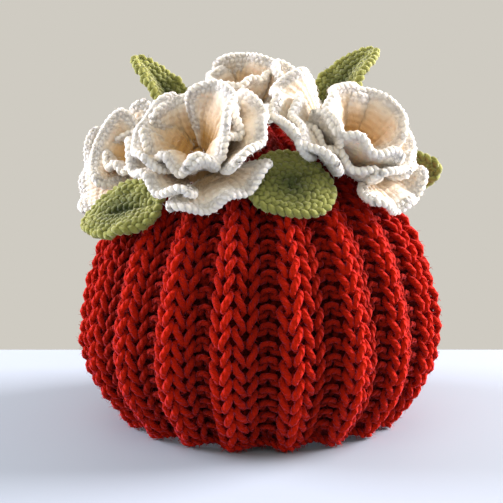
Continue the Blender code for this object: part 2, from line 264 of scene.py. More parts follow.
class CosyLeafSettings(bpy.types.PropertyGroup):
    """The crochet leaves."""

    half_thickness: bpy.props.FloatProperty(
        name="Leaf", description="Half the thickness of a leaf", default=0.7 * MM, unit="LENGTH"
    )
    strand: bpy.props.FloatProperty(
        name="Yarn", description="Radius of a strand in a leaf's stitches", default=1.5 * MM, unit="LENGTH"
    )
    fibre: bpy.props.FloatProperty(
        name="Fuzz", description="Length of the loose fibres", default=2.4 * MM, unit="LENGTH"
    )
    colour: bpy.props.StringProperty(
        name="Green", description="Colour of the yarn, as sRGB hex", default="#9fa259"
    )
    # The darker blotches, mixed in at random, not by where the stitches lie.
    shade: bpy.props.StringProperty(
        name="Shaded green", description="Colour between the stitches", default="#686a32"
    )
    # Painted shade: the colour that a leaf turns to along its middle.
    painted_shade_colour: bpy.props.StringProperty(
        name="Deep green", description="Colour in the middle of a leaf", default="#3f4720"
    )


class CosyStageSettings(bpy.types.PropertyGroup):
    """The floor, the lights and the camera."""

    lens: bpy.props.FloatProperty(
        name="Lens", description="Focal length on a 36 mm sensor", default=81.8, unit="CAMERA"
    )
    distance: bpy.props.FloatProperty(
        name="Distance", description="From the camera to the cosy's middle", default=0.565, unit="LENGTH"
    )
    floor: bpy.props.StringProperty(
        name="Table", description="Colour of the table, as sRGB hex", default="#9ba5b0"
    )
    room: bpy.props.StringProperty(
        name="Room", description="Colour of the room round the table, as sRGB hex", default="#cfcbc2"
    )


# ---- Meshes ----

TAPER = 0.03  # the radius of a strand's ends, as a share
BRAID_STRANDS, BRAID_SIDES = 3, 6
BRAID_STEPS = 12  # points in one swing of a strand
BRAID_LIFT = 0.55  # how far the strands pass over each other, as a share of their sway
BRAID_BULGE = 0.14  # how much a strand thickens at the sides
FIBRE_WIDTH = 0.2
FIBRE_LENGTHS = 0.5, 1.3  # the least and the greatest, as shares of the setting
FIBRE_MIDDLE, FIBRE_TIP = (0.34, 0.26), (0.44, 0.74)  # how far out and over, as shares of its length
FIBRE_TIP_WIDTH = 0.3  # as a share of the width
PLACES_TRIED = 3  # for each fibre that grows
LUMP_WAVES = 6
LUMP_SIZES = 0.7, 1.5  # the least and the greatest wave, as shares of the size


def make_mesh(name, shape, material, depth=None):
    """An object of a shape: its points in millimetres, its faces, and a pair of millimetres for each corner
    of each face as its uv. depth, from 0 to 1, is the painted shade at each point, most where it lies in a
    fold, a cup or the shade of the flowers."""
    points, faces, uv = shape
    data = bpy.data.meshes.new(name)
    faces = np.asarray(faces)
    count, corners = faces.shape
    data.vertices.add(len(points))
    data.vertices.foreach_set("co", (np.asarray(points, float) * MM).ravel())
    data.loops.add(count * corners)
    data.loops.foreach_set("vertex_index", faces.ravel().astype(np.int32))
    data.polygons.add(count)
    data.polygons.foreach_set("loop_start", np.arange(0, count * corners, corners, dtype=np.int32))
    data.update(calc_edges=True)
    data.uv_layers.new(name="UVMap").data.foreach_set("uv", np.asarray(uv, float).ravel())
    if depth is not None:
        attribute = data.attributes.new("depth", "FLOAT", "POINT")
        attribute.data.foreach_set("value", np.asarray(depth, np.float32))
    data.shade_smooth()
    data.materials.append(material)
    made = bpy.data.objects.new(name, data)
    bpy.context.scene.collection.objects.link(made)
    return made


def unit(vectors):
    """The vectors at a length of 1."""
    return vectors / np.maximum(np.linalg.norm(vectors, axis=-1), 1e-9)[..., None]


def turned(turn, first, second):
    """The directions that are turned by angles from the first of two towards the second."""
    return np.cos(turn)[..., None] * first + np.sin(turn)[..., None] * second


def run_to(lines):
    """How far along its line each point lies, for one line of points or for several."""
    steps = np.linalg.norm(np.diff(lines, axis=-2), axis=-1)
    return np.concatenate([np.zeros_like(steps[..., :1]), np.cumsum(steps, axis=-1)], axis=-1)


def tubes(lines, outward, radius, sides):
    """The points, faces and uv of round tubes along lines, an array of (line, point, xyz), which run to a
    point at both ends. outward is a direction at each point that the tube's line never runs along. The uv
    is how far along a tube a point lies, and the share of the way round it."""
    count, length, _ = lines.shape
    ahead = unit(np.gradient(lines, axis=1))
    across = unit(np.cross(outward, ahead))
    up = np.cross(ahead, across)
    turns = np.linspace(0.0, math.tau, sides, endpoint=False)
    radius = np.array(np.broadcast_to(radius, lines.shape[:2]), float)[..., None, None]
    radius[:, [0, -1]] *= TAPER
    points = lines[:, :, None] + radius * turned(turns, across[:, :, None], up[:, :, None])
    number = np.arange(count * length * sides).reshape(count, length, sides)
    after = np.roll(number, -1, axis=2)
    quads = np.stack([number[:, :-1], after[:, :-1], after[:, 1:], number[:, 1:]], axis=-1).reshape(-1, 4)
    along = run_to(lines)
    start = np.broadcast_to(along[:, :-1, None], (count, length - 1, sides))
    end = np.broadcast_to(along[:, 1:, None], start.shape)
    low = np.broadcast_to(np.arange(sides) / sides, start.shape)
    high = low + 1.0 / sides
    uv = np.stack([start, low, start, high, end, high, end, low], axis=-1).reshape(-1, 2)
    return points.reshape(-1, 3), quads, uv


def closed_sheet(front, back, uv):
    """The points, faces and uv of the solid between two grids of points, joined round the edge. The two
    grids run the same way, and uv is a pair for each of their points."""
    rows, columns, _ = front.shape
    number = np.arange(2 * rows * columns).reshape(2, rows, columns)
    a, b = number
    front_faces = np.stack([a[:-1, :-1], a[:-1, 1:], a[1:, 1:], a[1:, :-1]], axis=-1).reshape(-1, 4)
    back_faces = np.stack([b[:-1, :-1], b[1:, :-1], b[1:, 1:], b[:-1, 1:]], axis=-1).reshape(-1, 4)
    edge = np.concatenate([a[0], a[1:, -1], a[-1, -2::-1], a[-2:0:-1, 0]])
    after = np.roll(edge, -1)
    edge_faces = np.stack([after, edge, edge + rows * columns, after + rows * columns], axis=-1)
    faces = np.concatenate([front_faces, back_faces, edge_faces])
    pairs = np.concatenate([uv.reshape(-1, 2), uv.reshape(-1, 2)])
    return np.concatenate([front.reshape(-1, 3), back.reshape(-1, 3)]), faces, pairs[faces]


def joined(parts):
    """Several (points, faces, uv) as one."""
    points, faces, uvs = [], [], []
    start = 0
    for part_points, part_faces, part_uv in parts:
        points.append(part_points)
        faces.append(part_faces + start)
        uvs.append(np.asarray(part_uv).reshape(-1, 2))
        start += len(part_points)
    return np.concatenate(points), np.concatenate(faces), np.concatenate(uvs)


def braid(path, inward, strand, sway, pitch):
    """Strands of yarn that cross each other along a path, as the top loops of crochet stitches do. inward
    is the direction across the braid at each point of the path."""
    run = run_to(path)
    at = np.arange(0.0, run[-1], pitch / BRAID_STEPS)
    place = np.stack([np.interp(at, run, path[:, k]) for k in range(3)], axis=-1)
    across = np.stack([np.interp(at, run, inward[:, k]) for k in range(3)], axis=-1)
    ahead = np.gradient(place, axis=0)
    up = unit(np.cross(ahead, across))
    across = unit(np.cross(up, ahead))
    share = at / pitch + np.arange(BRAID_STRANDS)[:, None] / BRAID_STRANDS
    turn = math.tau * share[..., None]
    lines = place + sway * np.sin(turn) * across + BRAID_LIFT * sway * np.sin(2.0 * turn) * up
    radius = strand * (1.0 - BRAID_BULGE * np.cos(2.0 * turn[..., 0]))
    return tubes(lines, np.broadcast_to(up, lines.shape), radius, BRAID_SIDES)


def fuzz(shape, count, length, seed, depth):
    """Loose fibres that stand up from a shape, each a narrow blade that bends over and stays above the table.
    Fewer grow where depth, the painted shade given for each point, is greater."""
    points, faces, _ = shape
    chance = np.random.default_rng(seed)
    tried = chance.integers(len(faces), size=PLACES_TRIED * count)
    open_air = (1.0 - depth[faces[tried, 0]]) ** 2
    order = np.argsort(chance.random(PLACES_TRIED * count) / np.maximum(open_air, 0.001))
    corners = points[faces[tried[order[:count]]]]
    out = unit(np.cross(corners[:, 2] - corners[:, 0], corners[:, 3] - corners[:, 1]))
    lean = unit(np.cross(out, chance.normal(size=(count, 3))))
    long = length * chance.uniform(*FIBRE_LENGTHS, size=(count, 1))
    share = chance.random((count, 4, 1))
    root = (corners * share).sum(axis=1) / share.sum(axis=1)
    middle, tip = (root + long * (rise * out + over * lean) for rise, over in (FIBRE_MIDDLE, FIBRE_TIP))
    side = 0.5 * FIBRE_WIDTH * np.cross(out, lean)
    narrow = FIBRE_TIP_WIDTH * side
    blades = np.stack(
        [root - side, root + side, middle - side, middle + side, tip - narrow, tip + narrow], axis=1
    )
    blades[..., 2] = np.maximum(blades[..., 2], 0.0)
    first = 6 * np.arange(count)[:, None]
    quads = np.stack([first + [0, 1, 3, 2], first + [2, 3, 5, 4]], axis=1).reshape(-1, 4)
    return blades.reshape(-1, 3), quads, np.zeros((8 * count, 2))


def lumps(points, size, seed):
    """A smooth, irregular value from about -1 to 1 at each point, with lumps of a size in millimetres."""
    chance = np.random.default_rng(seed)
    value = 0.0
    for _ in range(LUMP_WAVES):
        way = chance.normal(size=3)
        way *= math.tau / (size * chance.uniform(*LUMP_SIZES) * np.linalg.norm(way))
        value = value + np.sin(points @ way + chance.uniform(0.0, math.tau))
    return value / (0.5 * LUMP_WAVES)


def direction(facing, rise):
    """The unit vector that faces an angle round the cosy and rises above the level."""
    turn, up = math.radians(facing), math.radians(rise)
    return np.array([math.cos(up) * math.sin(turn), -math.cos(up) * math.cos(turn), math.sin(up)])


# ---- The shape of the knit ----

CRESTS = np.array([(level.radius, level.height, level.rib) for level in LEVELS])
KNOTS = run_to(CRESTS[:, :2])  # how far each level is from the hem, along the knit
# Where a rib is highest and lowest, as shares of the way from one crest to the next.
CREST_AT, VALLEY_AT = 0.06, 0.70
VALLEY_FULLNESS = 0.7  # under 1, the valleys are wider than the crests
HEM_BLEND = 6.0  # how far up the cloth turns from upright to its own slope
CROWN_RADIUS = 20.0  # nearer to the axis, the seam's angle changes no more


def eased(values, at):
    """Values given at the KNOTS, on a smooth curve through them, and their slopes."""
    slopes = np.gradient(values, KNOTS)
    i = np.clip(np.searchsorted(KNOTS, at, side="right") - 1, 0, len(KNOTS) - 2)
    step = KNOTS[i + 1] - KNOTS[i]
    t = (at - KNOTS[i]) / step
    low, high, low_slope, high_slope = values[i], values[i + 1], slopes[i] * step, slopes[i + 1] * step
    square = 3 * (high - low) - 2 * low_slope - high_slope
    cube = 2 * (low - high) + low_slope + high_slope
    curve = low + t * low_slope + t * t * square + t**3 * cube
    return curve, (low_slope + 2 * t * square + 3 * t * t * cube) / step


def seam_angle(slit, height, radius):
    """Where a panel ends at a height: just short of the seam, or of the slit in it."""
    along = (2.0 * height - slit.low - slit.high) / (slit.high - slit.low)
    half = 0.5 * SEAM_GAP + slit.half_width * np.maximum(0.0, 1.0 - along * along) ** SLIT_ROUNDNESS
    return 90.0 - np.degrees(np.arcsin(half / radius))


def sink(crests, angle):
    """0 on a crest and 1 in a valley, which lies nearer to the next crest than to its own."""
    marks, phases = [-90.0], [0.0]
    for crest, after in zip(crests, crests[1:]):
        marks += [crest + CREST_AT * (after - crest), crest + VALLEY_AT * (after - crest)]
        phases += [phases[-1] + 0.5, phases[-1] + 1.0]
    marks += [crests[-1], 90.0]
    phases += [phases[-1] + 0.5, phases[-1] + 1.0]
    phase = np.interp(angle, marks, phases)
    return (0.5 + 0.5 * np.cos(math.tau * phase)) ** VALLEY_FULLNESS


def on_panel(panel, angle, along, depth):
    """The point that lies depth below the panel's outer face, at an angle from the panel's middle and at a
    distance up from the hem, and the direction out of the cloth there. All may be arrays."""
    radius, d_radius = eased(CRESTS[:, 0], along)
    height, d_height = eased(CRESTS[:, 1], along)
    rib = eased(CRESTS[:, 2], along)[0]
    long = np.hypot(d_radius, d_height)
    out, rise = d_height / long, -d_radius / long
    low = sink(panel.crests, angle)
    below = depth + low * rib
    near_hem = np.exp(-np.maximum(along, 0.0) / HEM_BLEND)
    out, rise = out + (1.0 - out) * near_hem, rise * (1.0 - near_hem)
    radius = radius - below * out
    height = height - below * rise + HEM_LIFT * low * near_hem
    ends = [seam_angle(slit, height, np.maximum(radius, CROWN_RADIUS)) for slit in panel.slits]
    room = np.where(angle > 0, ends[1], ends[0]) - SQUEEZED_FROM
    beyond = np.maximum(0.0, np.abs(angle) - SQUEEZED_FROM) / (90.0 - SQUEEZED_FROM)
    turn = np.radians(np.sign(angle) * (np.minimum(np.abs(angle), SQUEEZED_FROM) + beyond * room))
    place = np.stack([radius * np.sin(turn), -radius * np.cos(turn), height], axis=-1)
    outward = np.stack([out * np.sin(turn), -out * np.cos(turn), rise + 0.0 * turn], axis=-1)
    spin = np.array([panel.side, panel.side, 1.0])
    return place * spin, outward * spin


def above_crests(points):
    """How far points are outside the surface through the ribs' crests, the nearest points on it and its
    outward normals there, both as (radial, vertical)."""
    line = np.concatenate([CRESTS[:, :2], [(0.0, LEVELS[-1].height)]])
    start, step = line[:-1], np.diff(line, axis=0)
    here = np.stack([np.hypot(points[:, 0], points[:, 1]), points[:, 2]], axis=-1)
    share = np.clip(((here[:, None] - start) * step).sum(-1) / (step * step).sum(-1), 0.0, 1.0)
    near = start + share[..., None] * step
    i = np.linalg.norm(here[:, None] - near, axis=-1).argmin(axis=1)
    near = near[np.arange(len(points)), i]
    normal = unit(np.stack([step[i, 1], -step[i, 0]], axis=-1))
    return ((here - near) * normal).sum(-1), near, normal


def clear_of_crests(grid, clearance):
    """The points of a grid, with each that comes too near the ribs' crests moved out to the clearance."""
    points = grid.reshape(-1, 3)
    away, near, normal = above_crests(points)
    there = near + clearance * normal
    ratio = there[:, 0] / np.maximum(np.hypot(points[:, 0], points[:, 1]), 0.001)
    moved = np.stack([points[:, 0] * ratio, points[:, 1] * ratio, there[:, 1]], axis=-1)
    return np.where((away < clearance)[:, None], moved, points).reshape(grid.shape)


# ---- The stitches of the knit ----

STEPS, SIDES = 14, 7  # points along the yarn of one stitch, and round it
# Where a rib's second knit column starts, and its purl column starts and ends, as shares of the way to
# the next crest.
SECOND_STARTS, PURL_STARTS, PURL_ENDS = 0.20, 0.57, 0.86
SECOND_FACE = 0.9  # how far the second knit column stands out, as a share of the first
# How far a loop's legs lean, as a share of the stitch, and as shares of the yarn, how far they come
# forward, how far the loop goes into the next rows, and how much its yarn thins and thickens.
LOOP_SWING, LOOP_DEPTH, LOOP_REACH, LOOP_PULL = 0.26, 0.62, 0.75, 0.13
YARN_DEPTH = 3.3  # of its middle, below the crests
TOP_GAP = 4.0  # without rows, below the gathered top
# How uneven a loop is: sideways and in thickness as shares, and up and out in millimetres.
UNEVEN_ASIDE, UNEVEN_UP, UNEVEN_OUT, UNEVEN_YARN = 0.04, 0.35, 0.3, 0.07

Cord = namedtuple("Cord", "depth pitch points")
HEM_CORD = Cord(2.4, 7.0, 420)
SIDE_CORD = Cord(2.8, 8.0, 240)
CORD_STRANDS = 2
CORD_YARN = 0.8  # the thickness of its strands, as a share of the yarn
HEM_CORD_UP = 0.95  # from the hem, as a share of the yarn
HEM_CORD_ENDS, SIDE_CORD_AT = 89.6, 89.0  # angles round the panel

CLOTH_COLUMNS, CLOTH_ROWS = 121, 40
CLOTH_DEPTH, CLOTH_THICKNESS = 6.0, 1.3
CLOTH_FLATNESS = 0.25  # how much shallower than the ribs its folds are
CLOTH_UP = 1.2  # from the hem
CLOTH_DEGREE = 1.5  # of uv, for each degree round the cosy

FIBRES = 12000  # on each panel
# The knit's painted shade: it grows below the crests, is a painted shadow near a flower's heart, and is full
# in the hollow between two flowers.
DARKEST = 9.0  # below the crests, where no light comes
SHADED_FROM, SHADED_TO = 26.0, 42.0  # from the nearest heart, where the shade starts to fade and ends
FLOWER_SHADE = 0.7
HOLLOW_FROM, HOLLOW_TO = 36.0, 50.0  # the same from the second nearest, in the hollow between two flowers


def stitch_columns(crests):
    """The angles between the columns of stitches across a panel, and each column's face: 1 for knit and -1
    for purl. Each rib is a knit column on its crest, another down its side, and a purl column."""
    gaps = [after - crest for crest, after in zip(crests, crests[1:])]
    edges, faces = [-90.0], [-1.0]
    for crest, before, gap in zip(crests, gaps[:1] + gaps, gaps + gaps[-1:]):
        edges += [crest - (1.0 - PURL_ENDS) * before, crest + SECOND_STARTS * gap]
        faces += [1.0, SECOND_FACE]
        if crest != crests[-1]:
            edges.append(crest + PURL_STARTS * gap)
            faces.append(-1.0)
    return np.array(edges + [90.0]), np.array(faces)


def knit_yarn(panel, yarn, rise):
    """The yarn of a panel's stitches: one strand for each row, looped through the row below."""
    edges, faces = stitch_columns(panel.crests)
    count = len(faces)
    chance = np.random.default_rng(panel.seed)
    u = np.arange(count * STEPS + 1) / STEPS  # in stitches along the row
    turn = math.tau * u
    whole = np.arange(count + 1)
    # Each column keeps its own face for its middle half, and meets the next one's between the two.
    marks = np.sort(np.concatenate([whole, whole[:-1] + 0.25, whole[:-1] + 0.75]))
    levels = np.zeros(len(marks))
    levels[0::3] = np.concatenate([faces[:1], 0.5 * (faces[1:] + faces[:-1]), faces[-1:]])
    levels[1::3] = levels[2::3] = faces
    face = np.interp(u, marks, levels)
    lines, normals, radii = [], [], []
    reach = 0.5 * rise + LOOP_REACH * yarn
    for row in range(int((KNOTS[-1] - TOP_GAP) / rise)):
        wander = [np.interp(u, whole, chance.normal(size=count + 1)) for _ in range(4)]
        across = u + LOOP_SWING * np.sin(2.0 * turn) + UNEVEN_ASIDE * wander[0]
        angle = np.interp(across, whole, edges)
        along = reach + 0.5 * yarn + row * rise - reach * np.cos(turn) + UNEVEN_UP * wander[1]
        lift = -LOOP_DEPTH * yarn * face * np.cos(2.0 * turn) + UNEVEN_OUT * wander[2]
        place, outward = on_panel(panel, angle, np.minimum(along, KNOTS[-1]), YARN_DEPTH - lift)
        lines.append(place)
        normals.append(outward)
        radii.append(0.5 * yarn * (1.0 + UNEVEN_YARN * wander[3] - LOOP_PULL * np.cos(2.0 * turn)))
    return tubes(np.array(lines), np.array(normals), np.array(radii), SIDES)


def twisted_cord(panel, cord, angle, along, strand):
    """Strands that twist round each other on a line over a panel, given by arrays of angles and of
    distances up from the hem."""
    place, outward = on_panel(panel, angle, along, np.full(cord.points, cord.depth))
    ahead = unit(np.gradient(place, axis=0))
    aside = unit(np.cross(outward, ahead))
    up = np.cross(ahead, aside)
    run = run_to(place)
    lines = []
    for k in range(CORD_STRANDS):
        turn = math.tau * (run / cord.pitch + k / CORD_STRANDS)
        lines.append(place + 0.5 * strand * turned(turn, aside, up))
    lines = np.array(lines)
    return tubes(lines, np.broadcast_to(outward, lines.shape), 0.5 * strand, SIDES)


def knit_edges(panel, yarn):
    """The cast-on edge along the hem, and the firm edges up both sides of a panel."""
    strand = CORD_YARN * yarn
    angle = np.linspace(-HEM_CORD_ENDS, HEM_CORD_ENDS, HEM_CORD.points)
    low = np.full(HEM_CORD.points, HEM_CORD_UP * yarn)
    parts = [twisted_cord(panel, HEM_CORD, angle, low, strand)]
    along = np.linspace(strand, KNOTS[-1] - 1.0, SIDE_CORD.points)
    for side in (-1.0, 1.0):
        angle = np.full(SIDE_CORD.points, side * SIDE_CORD_AT)
        parts.append(twisted_cord(panel, SIDE_CORD, angle, along, strand))
    return joined(parts)


def panel_cloth(panel):
    """The sheet of cloth that a panel's yarn lies on, which closes the gaps between the stitches. It lies
    low, so it takes the most painted shade.
    """
    across = np.linspace(-90.0, 90.0, CLOTH_COLUMNS)
    angle, along = np.meshgrid(across, np.linspace(CLOTH_UP, KNOTS[-1], CLOTH_ROWS))
    fold = sink(panel.crests, angle) * eased(CRESTS[:, 2], along)[0]
    front, outward = on_panel(panel, angle, along, CLOTH_DEPTH - CLOTH_FLATNESS * fold)
    uv = np.stack([angle * CLOTH_DEGREE, along], axis=-1)
    return closed_sheet(front, front - CLOTH_THICKNESS * outward, uv)


def painted_shade_in_knit(points):
    """The painted shade at points of the knit, from 0 to 1: more below the ribs' crests, near a flower's
    heart and in the hollow between two flowers.
    """
    hearts = np.array([(flower.x, flower.y, flower.z) for flower in FLOWERS])
    nearest, second = np.sort(np.linalg.norm(points[:, None] - hearts, axis=2), axis=1)[:, :2].T
    shaded = FLOWER_SHADE * np.clip((SHADED_TO - nearest) / (SHADED_TO - SHADED_FROM), 0.0, 1.0)
    hollow = np.clip((HOLLOW_TO - second) / (HOLLOW_TO - HOLLOW_FROM), 0.0, 1.0)
    return np.clip(np.max([-above_crests(points)[0] / DARKEST, shaded, hollow], axis=0), 0.0, 1.0)


# ---- Flowers ----

PETAL_ROWS, PETAL_COLUMNS = 31, 43
PETAL_BEND, PETAL_BEND_SIZE = 0.8, 16.0  # uneven bends of its tip, and their size
TREBLE = 3.3  # from one to the next, and from round to round
TREBLE_RELIEF, ROUND_RELIEF = 0.32, 0.2
PETAL_LUMP, PETAL_LUMP_SIZE = 0.25, 4.0  # small lumps, and their size
RIM_INSET = 1.5  # from a petal's edge to the middle of its braid
RIM_SWAY, RIM_PITCH = 1.3, 8.0  # how far the strands swing, and from one swing to the next
RIM_STARTS = 5  # rows of the petal's grid below the rim
PETAL_FIBRES = 4000  # on each flower
# A flower's painted shade and painted warm reflected light: tan at its heart and over its petals' inner
# faces.
OPENS_AT = 30.0  # from the heart to where the petals are lit from all round
OPENING = 1.25  # over 1, the light comes in faster near the heart
CUP_SHADE = 0.36  # how far the inner faces turn to the painted shade colour
RIM_SHADE = 0.35  # how far the rims do at the heart
RIM_WIDTH, RIM_BLUR = 1.5, 8.0  # from the edge, then over which the inner face's painted shade grows
BASE_SIDES = 24
BASE_CLEARANCE = 1.0  # of its rings from the crests
BASE_GAP = 0.8  # from the crests to its end
BASE_REACH = 60.0  # the greatest that is tried
HALVINGS = 16
BASE_INNER_RINGS = 3  # its middle included, that face into the flower and take the cup's painted shade


def flower_frame(flower):
    """Where the flower's heart is, and its right, its up and its facing directions."""
    ahead = direction(flower.facing, flower.rise)
    right = direction(flower.facing + 90.0, 0.0)
    return np.array([flower.x, flower.y, flower.z]), right, np.cross(ahead, right), ahead


def petal_middle(flower, petal, u, v):
    """Points on the middle of a petal, for grids of shares u of its length and v of its half width."""
    heart, right, up, ahead = flower_frame(flower)
    around = math.radians(petal.around)
    out = math.cos(around) * right + math.sin(around) * up
    aside = np.cross(ahead, out)
    reach = u * (1.0 - TIP_ROUNDING * np.abs(v) ** TIP_FLATNESS * u)
    bend = math.radians(petal.tip_rise - petal.base_rise) * reach
    chord = petal.reach * reach * np.sinc(0.5 * bend / math.pi)
    rise = math.radians(petal.base_rise) + 0.5 * bend
    run = chord * np.cos(rise) + petal.start
    climb = chord * np.sin(rise) - BASE_SLOPE * petal.start
    widening = np.sin(0.5 * math.pi * np.minimum(1.0, u / PETAL_WIDEST))
    half = 0.5 * petal.width * (PETAL_BASE + (1.0 - PETAL_BASE) * widening)
    curl = math.radians(petal.cup) * (CURL_AT_HEART + (1.0 - CURL_AT_HEART) * u)
    inward = half / curl * (1.0 - np.cos(curl * v))
    inward = inward + petal.ruffle * u * u * np.sin(RUFFLE_WAVES * math.pi * v + RUFFLE_SHIFT)
    tip = (rise + 0.5 * bend)[..., None]
    facing_in = -np.sin(tip) * out + np.cos(tip) * ahead
    points = heart + run[..., None] * out + climb[..., None] * ahead
    return points + (half / curl * np.sin(curl * v))[..., None] * aside + inward[..., None] * facing_in


def grid_normals(grid):
    """The unit normal at each point of a grid."""
    return unit(np.cross(np.gradient(grid, axis=1), np.gradient(grid, axis=0)))


def petal_edge(grid, inset):
    """The points along a petal's edge, or that many rows and columns in from it: up one side from where
    the rim starts, round the tip and down the other."""
    low = RIM_STARTS
    return np.concatenate([grid[low:, inset], grid[-1 - inset, 1:-1], grid[:low:-1, -1 - inset]])


def petal_parts(flower, petal, middle, strand, seed):
    """A petal: a sheet of trebles that fan out from its base, and the thick braid round its edge. With each
    comes how far inside the petal's cup each of its points is, from 0 to 1, which marks the painted shade on
    its inner face."""
    v, u = np.meshgrid(np.linspace(-1.0, 1.0, PETAL_COLUMNS), np.linspace(0.0, 1.0, PETAL_ROWS))
    grid = petal_middle(flower, petal, u, v)
    grid = grid + (PETAL_BEND * lumps(grid, PETAL_BEND_SIZE, seed) * u)[..., None] * grid_normals(grid)
    grid = clear_of_crests(grid, PETAL_CLEARANCE)
    normals = grid_normals(grid)
    trebles = np.cos(math.pi * v * petal.width / TREBLE)
    every_other = math.pi * (np.arange(PETAL_COLUMNS) % 2)
    rounds = np.cos(math.tau * u * petal.reach / TREBLE + every_other)
    relief = TREBLE_RELIEF * trebles + ROUND_RELIEF * rounds
    relief = relief + PETAL_LUMP * lumps(grid, PETAL_LUMP_SIZE, seed + 1)
    thick = (middle + relief)[..., None]
    uv = np.stack([petal.reach * u, 0.5 * petal.width * v], axis=-1)
    sheet = closed_sheet(grid + thick * normals, grid - thick * normals, uv)
    edge = petal_edge(grid, 0)
    inward = unit(petal_edge(grid, 2) - edge)
    rim = braid(edge + RIM_INSET * inward, inward, strand, RIM_SWAY, RIM_PITCH)
    from_edge = np.minimum(petal.reach * (1.0 - u), 0.5 * petal.width * (1.0 - np.abs(v)))
    inside = np.clip((from_edge - RIM_WIDTH) / RIM_BLUR, 0.0, 1.0).ravel()
    return [(sheet, np.concatenate([np.zeros_like(inside), inside])), (rim, np.zeros(len(rim[0])))]


def painted_shade_in_flower(flower, points, inside):
    """The painted shade at points of a flower, from 0 to 1: most at its heart, some over the petals' inner
    faces, and less where the petals open and on their rims."""
    heart = flower_frame(flower)[0]
    near = np.clip(1.0 - np.linalg.norm(points - heart, axis=1) / OPENS_AT, 0.0, 1.0) ** OPENING
    return np.clip(RIM_SHADE * near + inside * (CUP_SHADE + (1.0 - RIM_SHADE) * near), 0.0, 1.0)


def flower_base(flower):
    """The closed base behind the petals, reaching back to the knit that it is sewn to. With it comes how far
    inside the flower's cup each of its points is, from 0 to 1, which marks the painted shade on its inner
    rings."""
    heart, right, up, ahead = flower_frame(flower)
    turns = np.linspace(0.0, math.tau, BASE_SIDES, endpoint=False)
    spokes = turned(turns, right, up)
    rings = [
        clear_of_crests(heart + radius * spokes - back * ahead, BASE_CLEARANCE) for radius, back in BASE_RINGS
    ]
    # The last ring goes back until each of its points meets the knit, found by halving.
    near, far = np.zeros(BASE_SIDES), np.full(BASE_SIDES, BASE_REACH)
    for _ in range(HALVINGS):
        middle = 0.5 * (near + far)
        clear = above_crests(rings[-1] - middle[:, None] * ahead)[0] > BASE_GAP
        near, far = np.where(clear, middle, near), np.where(clear, far, middle)
    rings.append(rings[-1] - near[:, None] * ahead)
    first, last = (np.tile(ring.mean(axis=0), (BASE_SIDES, 1)) for ring in (rings[0], rings[-1]))
    rings = [first, *rings, last]
    number = np.arange(len(rings) * BASE_SIDES).reshape(len(rings), BASE_SIDES)
    after = np.roll(number, -1, axis=1)
    faces = np.stack([number[:-1], number[1:], after[1:], after[:-1]], axis=-1).reshape(-1, 4)
    points = np.concatenate(rings)
    inside = np.where(np.arange(len(points)) < BASE_INNER_RINGS * BASE_SIDES, 1.0, 0.0)
    return (points, faces, points[:, :2][faces]), inside


# ---- Leaves ----

LEAF_ROWS, LEAF_COLUMNS = 41, 31
# The half wave of a leaf's outline: its start, how much of it the leaf takes, a power that brings its
# widest part nearer to the base, and one that rounds it.
OUTLINE_FROM, OUTLINE_RUN, OUTLINE_LEAN, OUTLINE_ROUNDNESS = 0.06, 0.90, 0.8, 0.75
LEAF_BEND, LEAF_BEND_SIZE = 0.5, 14.0  # uneven bends, and their size
LEAF_CRINKLE, LEAF_CRINKLE_SIZE = 1.1, 7.0  # the same for its edge
LEAF_ROUND = 4.8  # from one round of stitches to the next
LEAF_ROUND_POINTS = 120
LEAF_RIM_INSET = 1.5  # from the edge to the outer round
LEAST_ROUND = 1.0  # half the width of the smallest
LEAF_FULLNESS = 0.45  # how squarely the rounds fill the leaf's ends
LEAF_SWAY, LEAF_PITCH = 1.9, 10.5  # as for the petals' rims
LEAF_FIBRES = 1000  # on each leaf
LEAF_SHADE, LEAF_FADE = 1.2, 1.5  # the painted shade in the middle, and how much less it is at the edge


def leaf_outline(u):
    """The leaf's width at a share u of its length, as a share of the greatest."""
    wave = np.sin(math.pi * (OUTLINE_FROM + OUTLINE_RUN * u) ** OUTLINE_LEAN)
    return LEAF_STALK + (1.0 - LEAF_STALK) * wave**OUTLINE_ROUNDNESS


def leaf_frame(leaf):
    """Where a leaf's base is, and the directions from there to its tip, across it and out of its upper
    face."""
    along = direction(leaf.heading, leaf.climb)
    level = direction(leaf.heading + 90.0, 0.0)
    roll = math.radians(leaf.roll)
    aside = math.cos(roll) * level + math.sin(roll) * np.cross(level, along)
    face = np.cross(along, aside)
    return np.array([leaf.x, leaf.y, leaf.z]), along, aside, face if face[2] > 0 else -face


def leaf_middle(leaf, u, v):
    """Points on the middle of a leaf, for arrays of shares u of its length and v of its half width."""
    base, along, aside, face = leaf_frame(leaf)
    half = 0.5 * leaf.width * leaf_outline(u)
    drop = math.radians(leaf.droop) * u
    run, fall = leaf.length * u * np.cos(0.5 * drop), leaf.length * u * np.sin(0.5 * drop)
    bend = math.radians(leaf.fold)
    lift = half * np.abs(v) * math.sin(bend) - leaf.flare * v * v
    grid = base + run[..., None] * along + (lift - fall)[..., None] * face
    return grid + (half * v * math.cos(bend))[..., None] * aside


def leaf_grid(leaf, u, v, seed):
    """The points of a leaf's middle with its small bends, and clear of the knit."""
    grid = leaf_middle(leaf, u, v)
    bends = LEAF_BEND * lumps(grid, LEAF_BEND_SIZE, seed)
    bends = bends + LEAF_CRINKLE * v * v * lumps(grid, LEAF_CRINKLE_SIZE, seed + 1)
    return clear_of_crests(grid + bends[..., None] * leaf_frame(leaf)[3], leaf.seat)


def leaf_round(leaf, inset, seed):
    """A closed line of points on a leaf, a distance in from its edge."""
    turn = np.linspace(0.0, math.tau, LEAF_ROUND_POINTS)
    long, wide = 1.0 - 2.0 * inset / leaf.length, 1.0 - 2.0 * inset / leaf.width
    side = np.sin(turn)
    v = wide * np.sign(side) * np.abs(side) ** LEAF_FULLNESS
    return leaf_grid(leaf, 0.5 - 0.5 * long * np.cos(turn), v, seed)


